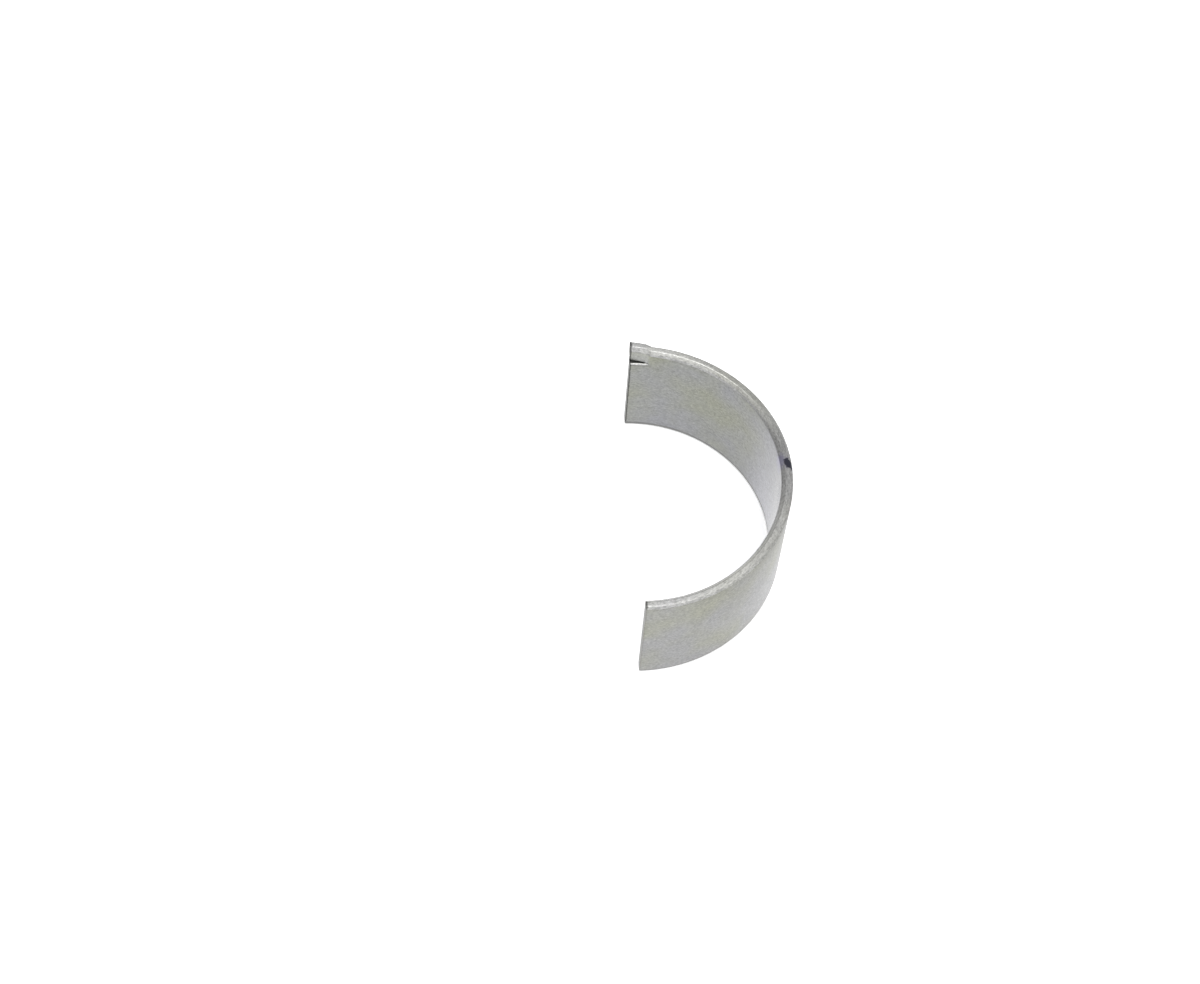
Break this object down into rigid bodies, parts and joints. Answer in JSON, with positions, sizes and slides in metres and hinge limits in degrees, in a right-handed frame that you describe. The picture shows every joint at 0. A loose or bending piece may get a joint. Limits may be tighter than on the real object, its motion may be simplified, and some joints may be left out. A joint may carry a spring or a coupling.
{
  "type": "engine bearing shell",
  "caption": "Plain half shell of a connecting-rod bearing: a thin half-round wall with chamfered side edges and a locating tang pressed out of one corner; it lines the rod bore.",
  "frame": {"origin": "on the journal's axis, at mid-width and in the plane of the two parting faces", "axes": "+Z along the journal's axis and up as the shell stands, +X from the parting plane to the crown, +Y to the parting face with the tang"},
  "size_m": [0.0195, 0.0397, 0.0164],
  "materials": {
    "shell_metal": "satin grey steel back and lining, brighter chamfers"
  },
  "bodies": {
    "root": {"bearing_shell": "shell_metal"}
  },
  "joints": []
}
